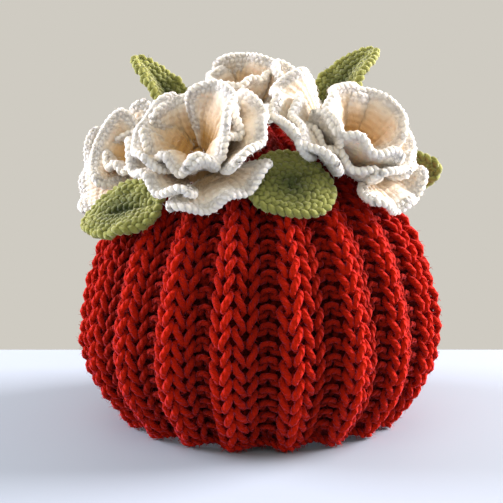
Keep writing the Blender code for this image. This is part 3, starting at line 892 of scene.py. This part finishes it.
def leaf_parts(leaf, middle, strand, seed):
    """A leaf: a thin sheet, and the rounds of stitches that are worked about its middle, each a braid."""
    v, u = np.meshgrid(np.linspace(-1.0, 1.0, LEAF_COLUMNS), np.linspace(0.0, 1.0, LEAF_ROWS))
    sheet = leaf_grid(leaf, u, v, seed)
    normals = grid_normals(sheet)
    uv = np.stack([leaf.length * u, 0.5 * leaf.width * v], axis=-1)
    parts = [closed_sheet(sheet + middle * normals, sheet - middle * normals, uv)]
    for inset in np.arange(LEAF_RIM_INSET, 0.5 * leaf.width - LEAST_ROUND, LEAF_ROUND):
        here = leaf_round(leaf, inset, seed)
        inward = unit(leaf_round(leaf, inset + 0.5, seed) - here)
        parts.append(braid(here, inward, strand, LEAF_SWAY, LEAF_PITCH))
    return parts


def painted_shade_in_leaf(leaf, points):
    """The painted shade on a leaf: 1 along its middle and 0 at its edge."""
    base, along, aside, _ = leaf_frame(leaf)
    offset = points - base
    share = np.hypot(2.0 * (offset @ along) / leaf.length - 1.0, 2.0 * (offset @ aside) / leaf.width)
    return np.clip(LEAF_SHADE - LEAF_FADE * share, 0.0, 1.0)


# ---- Materials ----

# The scale at which a wave texture repeats once in each unit, by the way its bands run.
STRAIGHT_WAVE, DIAGONAL_WAVE = math.pi / 10.0, math.pi / 5.0
PLIES = 3
PLY_TURN = 9.0  # millimetres of yarn in which a ply goes round once
CROCHET_STITCH = 3.0  # millimetres across a stitch, and along it
# Real fibres are too fine to show here. They are drawn as wisps of these sizes.
WOOL_WISP, COTTON_WISP = 1.43, 1.25
WOOL_BLOTCH, COTTON_BLOTCH = 2.4, 7.1  # patches of lighter and darker fibres
CREST_SHEEN, VALLEY_SHEEN = 0.46, 0.06  # the sheen fades with the painted shade, for the fibres in the knit's valleys that get little light to catch
PETAL_SHEEN, LEAF_SHEEN = 0.3, 0.25


def linear(hex_colour):
    """An sRGB hex colour as linear red, green, blue and alpha."""
    values = [int(hex_colour[i : i + 2], 16) / 255.0 for i in (1, 3, 5)]
    return [v / 12.92 if v <= 0.04045 else ((v + 0.055) / 1.055) ** 2.4 for v in values] + [1.0]


def per_metre(size):
    """The scale of a noise whose grains are of a size in millimetres."""
    return 1.0 / (size * MM)


def fill(tree, node, inputs):
    """Gives a node its inputs: each a value, or a socket to link."""
    for name, value in inputs.items():
        if isinstance(value, bpy.types.NodeSocket):
            tree.links.new(value, node.inputs[name])
        else:
            node.inputs[name].default_value = value
    return node


def add(tree, kind, inputs=None, **settings):
    """Adds a node, with its settings and its inputs."""
    node = tree.nodes.new(kind)
    for name, value in settings.items():
        setattr(node, name, value)
    return fill(tree, node, inputs or {})


def new_material(name):
    """A new material and its node tree."""
    material = bpy.data.materials.new(name)
    material.use_nodes = True
    return material, material.node_tree


def finished(material, inputs):
    """The material, once its shader has its inputs."""
    fill(material.node_tree, material.node_tree.nodes["Principled BSDF"], inputs)
    return material


def material_named(name, make, *values):
    """The material of that name, made where there is none yet."""
    return bpy.data.materials.get(name) or make(name, *values)


def yarn_colour(tree, blotch, colour, shade, painted_shade_colour):
    """The mixed colour of a yarn: blotches of two colours, of a size in millimetres, which turn towards a
    third, the painted shade colour, as far as each point's depth attribute says."""
    place = add(tree, "ShaderNodeTexCoord").outputs["Object"]
    patches = {"Vector": place, "Scale": per_metre(blotch), "Detail": 4.0}
    tone = add(tree, "ShaderNodeTexNoise", patches).outputs["Fac"]
    mixed = add(tree, "ShaderNodeMix", {0: tone, 6: linear(shade), 7: linear(colour)}, data_type="RGBA")
    # depth: how much painted shade each point gets, from 0 to 1
    fold = add(tree, "ShaderNodeAttribute", attribute_name="depth").outputs["Fac"]
    painted_shade_mix = {0: fold, 6: mixed.outputs[2], 7: linear(painted_shade_colour)}
    return add(tree, "ShaderNodeMix", painted_shade_mix, data_type="RGBA").outputs[2]


def wisps(tree, place, size, strength, height):
    """A bump of loose fibres, drawn as wisps of a size and a height in millimetres."""
    fibre = add(tree, "ShaderNodeTexNoise", {"Vector": place, "Scale": per_metre(size), "Detail": 5.0})
    blurred = {"Height": fibre.outputs["Fac"], "Strength": strength, "Distance": height * MM}
    return add(tree, "ShaderNodeBump", blurred).outputs["Normal"]


def wool(name, colour, shade, painted_shade_colour):
    """Chunky plied wool. Its plies and loose fibres blur each strand, and the sheen stands for the fibres
    that catch light from behind. Its colour turns to the painted shade, and its sheen fades, as far as the
    depth attribute says."""
    material, tree = new_material(name)
    place = add(tree, "ShaderNodeTexCoord")
    spin = add(tree, "ShaderNodeMapping", {"Vector": place.outputs["UV"], "Scale": (1.0, PLY_TURN, 1.0)})
    twist = {
        "Vector": spin.outputs["Vector"],
        "Scale": DIAGONAL_WAVE * PLIES / PLY_TURN,
        "Distortion": 0.9,
        "Detail": 2.0,
        "Detail Scale": 2.0,
    }
    ply = add(tree, "ShaderNodeTexWave", twist, bands_direction="DIAGONAL")
    soft = wisps(tree, place.outputs["Object"], WOOL_WISP, 0.7, 1.4)
    grooved = {"Height": ply.outputs["Fac"], "Strength": 0.7, "Distance": 0.8 * MM, "Normal": soft}
    bump = add(tree, "ShaderNodeBump", grooved)
    # The sheen is turned down where the painted shade is.
    fold = add(tree, "ShaderNodeAttribute", attribute_name="depth").outputs["Fac"]
    caught = add(
        tree, "ShaderNodeMapRange", {"Value": fold, "To Min": CREST_SHEEN, "To Max": VALLEY_SHEEN}
    )
    finish = {
        "Base Color": yarn_colour(tree, WOOL_BLOTCH, colour, shade, painted_shade_colour),
        "Normal": bump.outputs["Normal"],
        "Sheen Weight": caught.outputs["Result"],
        "Roughness": 0.9,
        "Specular IOR Level": 0.08,
        "Sheen Roughness": 0.3,
        "Sheen Tint": linear("#ff7498"),
    }
    return finished(material, finish)


def crochet_yarn(name, colour, shade, painted_shade_colour, sheen):
    """Soft crocheted cotton. Its loose fibres blur each stitch, darker blotches mottle its yarn at random,
    its colour turns to the painted shade as far as the depth attribute says, and some light comes through it."""
    material, tree = new_material(name)
    place = add(tree, "ShaderNodeTexCoord")
    soft = wisps(tree, place.outputs["Object"], COTTON_WISP, 0.5, 0.8)
    stitches = {
        "Vector": place.outputs["UV"],
        "Scale": STRAIGHT_WAVE / CROCHET_STITCH,
        "Distortion": 1.0,
        "Detail": 2.0,
        "Detail Scale": 0.5,
    }
    rows = add(tree, "ShaderNodeTexWave", stitches, bands_direction="X").outputs["Fac"]
    ribs = add(tree, "ShaderNodeTexWave", stitches, bands_direction="Y").outputs["Fac"]
    ridges = add(tree, "ShaderNodeMath", {0: rows, 1: ribs}, operation="ADD").outputs[0]
    bump = add(
        tree, "ShaderNodeBump", {"Height": ridges, "Strength": 0.5, "Distance": 0.7 * MM, "Normal": soft}
    )
    finish = {
        "Base Color": yarn_colour(tree, COTTON_BLOTCH, colour, shade, painted_shade_colour),
        "Normal": bump.outputs["Normal"],
        "Roughness": 0.9,
        "Specular IOR Level": 0.2,
        "Subsurface Weight": 0.5,
        "Subsurface Radius": (1.0, 0.88, 0.66),
        "Subsurface Scale": 3.0 * MM,
        "Sheen Weight": sheen,
        "Sheen Roughness": 0.4,
    }
    return finished(material, finish)


def matt_board(name, colour):
    """A pale table top of painted board, smooth and matt, so that it shows soft shadows and no gloss."""
    material, _ = new_material(name)
    return finished(material, {"Base Color": linear(colour), "Roughness": 0.6})


# ---- Operators ----

# Where the random draws of the flowers, the leaves and their fibres start, and how far apart they lie.
LEAF_SEED, FLOWER_FIBRE_SEED, LEAF_FIBRE_SEED = 500, 900, 950
FLOWER_STEP, PIECE_STEP = 100, 10


class COSY_OT_knit_panels(bpy.types.Operator):
    """Make the two rib-knit panels, with their yarn, hem and seams"""

    bl_idname = "cosy.knit_panels"
    bl_label = "Knit panels"

    def execute(self, context):
        settings = context.scene.cosy_knit
        colours = settings.colour, settings.shade, settings.painted_shade_colour
        material = material_named("red_plied_wool", wool, *colours)
        yarn, fibre = settings.yarn / MM, settings.fibre / MM
        for panel in PANELS:
            stitches = knit_yarn(panel, yarn, settings.rise / MM)
            edging = knit_edges(panel, yarn)
            worked = joined([stitches, edging])
            loose = fuzz(worked, FIBRES, fibre, panel.seed, painted_shade_in_knit(worked[0]))
            shapes = {"cloth": panel_cloth(panel), "stitches": stitches, "edging": edging, "fibres": loose}
            for part, shape in shapes.items():
                # Each part, the cloth most, turns to the painted shade where it lies low or near the flowers.
                made = make_mesh(f"{panel.name}_{part}", shape, material, painted_shade_in_knit(shape[0]))
                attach(made, BODY)
            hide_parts(panel.name)
        return {"FINISHED"}


class COSY_OT_crochet_flowers(bpy.types.Operator):
    """Make the four cream crochet flowers"""

    bl_idname = "cosy.crochet_flowers"
    bl_label = "Crochet flowers"

    def execute(self, context):
        settings = context.scene.cosy_flower
        colours = settings.colour, settings.shade, settings.painted_shade_colour
        material = material_named("cream_crochet_cotton", crochet_yarn, *colours, PETAL_SHEEN)
        half, strand, fibre = settings.half_thickness / MM, settings.strand / MM, settings.fibre / MM
        for k, flower in enumerate(FLOWERS):
            parts = [flower_base(flower)]
            for i, petal in enumerate(flower.petals):
                parts += petal_parts(flower, petal, half, strand, FLOWER_STEP * k + PIECE_STEP * i)
            worked = joined([part for part, _ in parts])
            # The flower's painted shade, which also thins its fibres.
            depth = painted_shade_in_flower(flower, worked[0], np.concatenate([inside for _, inside in parts]))
            loose = fuzz(worked, PETAL_FIBRES, fibre, FLOWER_FIBRE_SEED + k, depth)
            depth = np.concatenate([depth, painted_shade_in_flower(flower, loose[0], 0.0)])
            piece = make_mesh(flower.name + "_petals", joined([worked, loose]), material, depth)
            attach(piece, BODY)
            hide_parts(flower.name)
        return {"FINISHED"}


class COSY_OT_crochet_leaves(bpy.types.Operator):
    """Make the five green crochet leaves"""

    bl_idname = "cosy.crochet_leaves"
    bl_label = "Crochet leaves"

    def execute(self, context):
        settings = context.scene.cosy_leaf
        colours = settings.colour, settings.shade, settings.painted_shade_colour
        material = material_named("green_crochet_yarn", crochet_yarn, *colours, LEAF_SHEEN)
        half, strand, fibre = settings.half_thickness / MM, settings.strand / MM, settings.fibre / MM
        for i, leaf in enumerate(LEAVES):
            worked = joined(leaf_parts(leaf, half, strand, LEAF_SEED + PIECE_STEP * i))
            loose = fuzz(worked, LEAF_FIBRES, fibre, LEAF_FIBRE_SEED + i, np.zeros(len(worked[0])))
            shape = joined([worked, loose])
            # Each leaf turns to its painted shade along its middle.
            piece = make_mesh(leaf.name + "_blade", shape, material, painted_shade_in_leaf(leaf, shape[0]))
            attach(piece, BODY)
            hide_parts(leaf.name)
        return {"FINISHED"}


# ---- The stage ----

# Places, aims and sizes are in metres, and powers in watts.
Light = namedtuple("Light", "name place size power colour")
LIGHTS = [
    Light("window_right", (1.70, 0.48, 0.80), 1.0, 136.0, "#fbf3f7"),
    Light("window_left", (-1.70, 0.40, 0.70), 1.0, 74.0, "#f5f2fd"),
    Light("ceiling", (-0.20, -0.80, 1.5), 1.2, 5.5, "#fffaf2"),
]
LIGHTS_AIM = (0.0, 0.0, 0.09)
CAMERA_AIM = (0.0, 0.0, 0.0812)
CAMERA_DIP = 8.23  # degrees that it looks down
CAMERA_SHIFT = -0.0179  # of the picture's width
SENSOR_WIDTH = 36.0
TABLE_WIDTH, TABLE_FRONT, TABLE_BACK = 5200.0, -2000.0, 135.0


def area_light(light):
    """A square area light that points at the cosy."""
    data = bpy.data.lights.new(light.name, "AREA")
    data.size = light.size
    data.energy = light.power
    data.color = linear(light.colour)[:3]
    made = bpy.data.objects.new(light.name, data)
    made.location = light.place
    made.rotation_euler = (Vector(LIGHTS_AIM) - Vector(light.place)).to_track_quat("-Z", "Y").to_euler()
    bpy.context.scene.collection.objects.link(made)


def table_top():
    """One wide, level face under the cosy."""
    corners = [(-0.5, TABLE_FRONT), (0.5, TABLE_FRONT), (0.5, TABLE_BACK), (-0.5, TABLE_BACK)]
    points = [(side * TABLE_WIDTH, y, 0.0) for side, y in corners]
    return points, [(0, 1, 2, 3)], [point[:2] for point in points]


class COSY_OT_stage(bpy.types.Operator):
    """Make the floor, the lights and the camera"""

    bl_idname = "cosy.stage"
    bl_label = "Stage"

    def execute(self, context):
        stage = context.scene.cosy_stage
        board = material_named("pale_matt_board", matt_board, stage.floor)
        make_mesh("table", table_top(), board)
        for light in LIGHTS:
            area_light(light)
        world = bpy.data.worlds.new("room")
        context.scene.world = world
        world.use_nodes = True
        room = world.node_tree.nodes["Background"]
        room.inputs["Color"].default_value = linear(stage.room)
        room.inputs["Strength"].default_value = 1.0
        context.scene.view_settings.view_transform = "Standard"
        dip = math.radians(CAMERA_DIP)
        look = Vector((0.0, math.cos(dip), -math.sin(dip)))
        data = bpy.data.cameras.new("camera")
        data.sensor_width = SENSOR_WIDTH
        data.lens = stage.lens
        data.shift_x = CAMERA_SHIFT
        camera = bpy.data.objects.new("camera", data)
        camera.location = Vector(CAMERA_AIM) - look * stage.distance
        camera.rotation_euler = look.to_track_quat("-Z", "Y").to_euler()
        context.scene.collection.objects.link(camera)
        context.scene.camera = camera
        return {"FINISHED"}


STEPS_OF_MAKING = [
    ("cosy_knit", CosyKnitSettings, COSY_OT_knit_panels),
    ("cosy_flower", CosyFlowerSettings, COSY_OT_crochet_flowers),
    ("cosy_leaf", CosyLeafSettings, COSY_OT_crochet_leaves),
    ("cosy_stage", CosyStageSettings, COSY_OT_stage),
]


class COSY_PT_panel(bpy.types.Panel):
    """The tea cosy's settings and the buttons that make its pieces"""

    bl_idname = "COSY_PT_panel"
    bl_label = "Tea cosy"
    bl_space_type = "VIEW_3D"
    bl_region_type = "UI"
    bl_category = "Tea cosy"

    def draw(self, context):
        for name, group, operator in STEPS_OF_MAKING:
            box = self.layout.box()
            for setting in group.__annotations__:
                box.prop(getattr(context.scene, name), setting)
            box.operator(operator.bl_idname)


def register():
    for name, group, operator in STEPS_OF_MAKING:
        bpy.utils.register_class(group)
        setattr(bpy.types.Scene, name, bpy.props.PointerProperty(type=group))
        bpy.utils.register_class(operator)
    bpy.utils.register_class(COSY_PT_panel)


def unregister():
    bpy.utils.unregister_class(COSY_PT_panel)
    for name, group, operator in reversed(STEPS_OF_MAKING):
        bpy.utils.unregister_class(operator)
        delattr(bpy.types.Scene, name)
        bpy.utils.unregister_class(group)


def main():
    register()
    bpy.ops.cosy.knit_panels()
    bpy.ops.cosy.crochet_flowers()
    bpy.ops.cosy.crochet_leaves()
    bpy.ops.cosy.stage()


if __name__ == "__main__":
    main()
